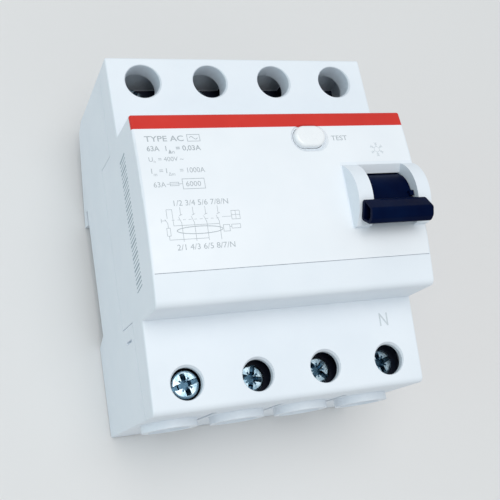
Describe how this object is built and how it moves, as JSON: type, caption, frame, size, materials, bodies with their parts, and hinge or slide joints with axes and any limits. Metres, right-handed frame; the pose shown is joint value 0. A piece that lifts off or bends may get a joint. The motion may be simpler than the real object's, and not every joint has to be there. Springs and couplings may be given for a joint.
{
  "type": "residual current device",
  "caption": "Residual current device for a standard rail: stepped pale housing, bulged front with a red band, black toggle between guards, oval test button and screw terminals at both ends.",
  "frame": {"origin": "centre of the face that rests on the rail", "axes": "+Z out of the printed front, +Y up when hung on its rail, +X to the right seen from the front"},
  "size_m": [0.07, 0.0903, 0.0691],
  "materials": {
    "housing_plastic": "fine moulded texture, cool white",
    "plate_plastic": "smooth printed plate, cool white",
    "red_plastic": "smooth red strip",
    "toggle_plastic": "blue-black moulding",
    "button_plastic": "smooth white cap",
    "latch_plastic": "grey glass-filled nylon",
    "shaft_plastic": "dark glass-filled nylon",
    "chassis_plastic": "pale insulating plate",
    "relay_plastic": "blue-grey case",
    "ring_plastic": "dark tray",
    "zinc_steel": "zinc-plated steel",
    "spring_steel": "drawn spring wire",
    "plain_steel": "stamped steel plate",
    "copper": "bare copper",
    "enamelled_copper": "enamelled copper wire",
    "core_metal": "wound strip core",
    "resistor_coat": "cement coat"
  },
  "bodies": {
    "housing": {"rear_base": "housing_plastic", "front_cover": "housing_plastic", "label_plate": "plate_plastic", "red_band": "red_plastic", "toggle_pin": "plain_steel", "arc_chutes": "plain_steel", "transformer_case": "ring_plastic", "transformer_core": "core_metal", "sensing_winding": "enamelled_copper", "sense_leads": "enamelled_copper", "chassis_plate": "chassis_plastic", "relay_case": "relay_plastic", "relay_coil": "enamelled_copper", "button_spring": "spring_steel", "test_contact": "copper", "test_resistor": "resistor_coat", "latch_spring_left": "spring_steel", "latch_spring_right": "spring_steel", "housing_screws": "zinc_steel", "upper_strip_1": "copper", "lower_strip_1": "copper", "conductor_1": "copper", "upper_strip_2": "copper", "lower_strip_2": "copper", "conductor_2": "copper", "upper_strip_3": "copper", "lower_strip_3": "copper", "conductor_3": "copper", "upper_strip_4": "copper", "lower_strip_4": "copper", "conductor_4": "copper"},
    "toggle": {"toggle": "toggle_plastic", "toggle_spring": "spring_steel"},
    "link": {"link_wire": "plain_steel"},
    "switch_shaft": {"contact_shaft": "shaft_plastic", "moving_contact_1": "copper", "moving_contact_2": "copper", "moving_contact_3": "copper", "moving_contact_4": "copper"},
    "lever": {"trip_lever": "chassis_plastic"},
    "plunger": {"relay_plunger": "plain_steel"},
    "button": {"test_button": "button_plastic"},
    "latch_left": {"rail_latch_left": "latch_plastic"},
    "latch_right": {"rail_latch_right": "latch_plastic"},
    "upper_screw_1": {"upper_screw_1": "zinc_steel"},
    "upper_cage_1": {"upper_cage_1": "zinc_steel"},
    "upper_screw_2": {"upper_screw_2": "zinc_steel"},
    "upper_cage_2": {"upper_cage_2": "zinc_steel"},
    "upper_screw_3": {"upper_screw_3": "zinc_steel"},
    "upper_cage_3": {"upper_cage_3": "zinc_steel"},
    "upper_screw_4": {"upper_screw_4": "zinc_steel"},
    "upper_cage_4": {"upper_cage_4": "zinc_steel"},
    "lower_screw_1": {"lower_screw_1": "zinc_steel"},
    "lower_cage_1": {"lower_cage_1": "zinc_steel"},
    "lower_screw_2": {"lower_screw_2": "zinc_steel"},
    "lower_cage_2": {"lower_cage_2": "zinc_steel"},
    "lower_screw_3": {"lower_screw_3": "zinc_steel"},
    "lower_cage_3": {"lower_cage_3": "zinc_steel"},
    "lower_screw_4": {"lower_screw_4": "zinc_steel"},
    "lower_cage_4": {"lower_cage_4": "zinc_steel"}
  },
  "joints": [
    {"name": "toggle_turn", "type": "hinge", "parent": "housing", "child": "toggle", "pos_m": [0.0254, -0.0003, 0.0502], "axis": [-1, 0, 0], "range_deg": [0, 53]},
    {"name": "link_turn", "type": "hinge", "parent": "toggle", "child": "link", "pos_m": [0.0254, 0.0022, 0.04519], "axis": [-1, 0, 0], "range_deg": [-53, 0]},
    {"name": "shaft_turn", "type": "hinge", "parent": "housing", "child": "switch_shaft", "pos_m": [0, 0.005, 0.0121], "axis": [1, 0, 0], "range_deg": [0, 20]},
    {"name": "trip_turn", "type": "hinge", "parent": "housing", "child": "lever", "pos_m": [0, 0.003, 0.042], "axis": [1, 0, 0], "range_deg": [0, 20.05]},
    {"name": "plunger_slide", "type": "slide", "parent": "housing", "child": "plunger", "axis": [0, 1, 0], "range_m": [0, 0.0009], "stiffness_N_per_m": 60, "springref_m": -0.0005},
    {"name": "button_slide", "type": "slide", "parent": "housing", "child": "button", "axis": [0, 0, -1], "range_m": [0, 0.0015], "stiffness_N_per_m": 450, "springref_m": -0.002, "deforming": ["button_spring"]},
    {"name": "latch_left_slide", "type": "slide", "parent": "housing", "child": "latch_left", "axis": [0, -1, 0], "range_m": [0, 0.004], "stiffness_N_per_m": 700, "springref_m": -0.002, "deforming": ["latch_spring_left"]},
    {"name": "latch_right_slide", "type": "slide", "parent": "housing", "child": "latch_right", "axis": [0, -1, 0], "range_m": [0, 0.004], "stiffness_N_per_m": 700, "springref_m": -0.002, "deforming": ["latch_spring_right"]},
    {"name": "upper_screw_1_turn", "type": "hinge", "parent": "housing", "child": "upper_screw_1", "pos_m": [-0.02625, 0.0375, 0.03], "axis": [0, 0, -1], "range_deg": [0, 1620]},
    {"name": "upper_cage_1_slide", "type": "slide", "parent": "housing", "child": "upper_cage_1", "axis": [0, 0, 1], "range_m": [0, 0.0036]},
    {"name": "upper_screw_2_turn", "type": "hinge", "parent": "housing", "child": "upper_screw_2", "pos_m": [-0.00875, 0.0375, 0.03], "axis": [0, 0, -1], "range_deg": [0, 1620]},
    {"name": "upper_cage_2_slide", "type": "slide", "parent": "housing", "child": "upper_cage_2", "axis": [0, 0, 1], "range_m": [0, 0.0036]},
    {"name": "upper_screw_3_turn", "type": "hinge", "parent": "housing", "child": "upper_screw_3", "pos_m": [0.00875, 0.0375, 0.03], "axis": [0, 0, -1], "range_deg": [0, 1620]},
    {"name": "upper_cage_3_slide", "type": "slide", "parent": "housing", "child": "upper_cage_3", "axis": [0, 0, 1], "range_m": [0, 0.0036]},
    {"name": "upper_screw_4_turn", "type": "hinge", "parent": "housing", "child": "upper_screw_4", "pos_m": [0.02625, 0.0375, 0.03], "axis": [0, 0, -1], "range_deg": [0, 1620]},
    {"name": "upper_cage_4_slide", "type": "slide", "parent": "housing", "child": "upper_cage_4", "axis": [0, 0, 1], "range_m": [0, 0.0036]},
    {"name": "lower_screw_1_turn", "type": "hinge", "parent": "housing", "child": "lower_screw_1", "pos_m": [-0.02625, -0.0375, 0.03], "axis": [0, 0, -1], "range_deg": [0, 360]},
    {"name": "lower_cage_1_slide", "type": "slide", "parent": "housing", "child": "lower_cage_1", "axis": [0, 0, 1], "range_m": [0, 0.0008]},
    {"name": "lower_screw_2_turn", "type": "hinge", "parent": "housing", "child": "lower_screw_2", "pos_m": [-0.00875, -0.0375, 0.03], "axis": [0, 0, -1], "range_deg": [0, 1620]},
    {"name": "lower_cage_2_slide", "type": "slide", "parent": "housing", "child": "lower_cage_2", "axis": [0, 0, 1], "range_m": [0, 0.0036]},
    {"name": "lower_screw_3_turn", "type": "hinge", "parent": "housing", "child": "lower_screw_3", "pos_m": [0.00875, -0.0375, 0.03], "axis": [0, 0, -1], "range_deg": [0, 1620]},
    {"name": "lower_cage_3_slide", "type": "slide", "parent": "housing", "child": "lower_cage_3", "axis": [0, 0, 1], "range_m": [0, 0.0036]},
    {"name": "lower_screw_4_turn", "type": "hinge", "parent": "housing", "child": "lower_screw_4", "pos_m": [0.02625, -0.0375, 0.03], "axis": [0, 0, -1], "range_deg": [0, 1620]},
    {"name": "lower_cage_4_slide", "type": "slide", "parent": "housing", "child": "lower_cage_4", "axis": [0, 0, 1], "range_m": [0, 0.0036]}
  ],
  "couplings": [
    {"joint": "link_turn", "follows": "toggle_turn", "ratio": -1},
    {"joint": "shaft_turn", "follows": "toggle_turn", "ratio": 0.37736},
    {"joint": "trip_turn", "follows": "plunger_slide", "rad_per_m": 387.85},
    {"joint": "upper_screw_1_turn", "follows": "upper_cage_1_slide", "rad_per_m": 7853.9},
    {"joint": "upper_screw_2_turn", "follows": "upper_cage_2_slide", "rad_per_m": 7853.9},
    {"joint": "upper_screw_3_turn", "follows": "upper_cage_3_slide", "rad_per_m": 7853.9},
    {"joint": "upper_screw_4_turn", "follows": "upper_cage_4_slide", "rad_per_m": 7853.9},
    {"joint": "lower_screw_1_turn", "follows": "lower_cage_1_slide", "rad_per_m": 7853.9},
    {"joint": "lower_screw_2_turn", "follows": "lower_cage_2_slide", "rad_per_m": 7853.9},
    {"joint": "lower_screw_3_turn", "follows": "lower_cage_3_slide", "rad_per_m": 7853.9},
    {"joint": "lower_screw_4_turn", "follows": "lower_cage_4_slide", "rad_per_m": 7853.9}
  ]
}
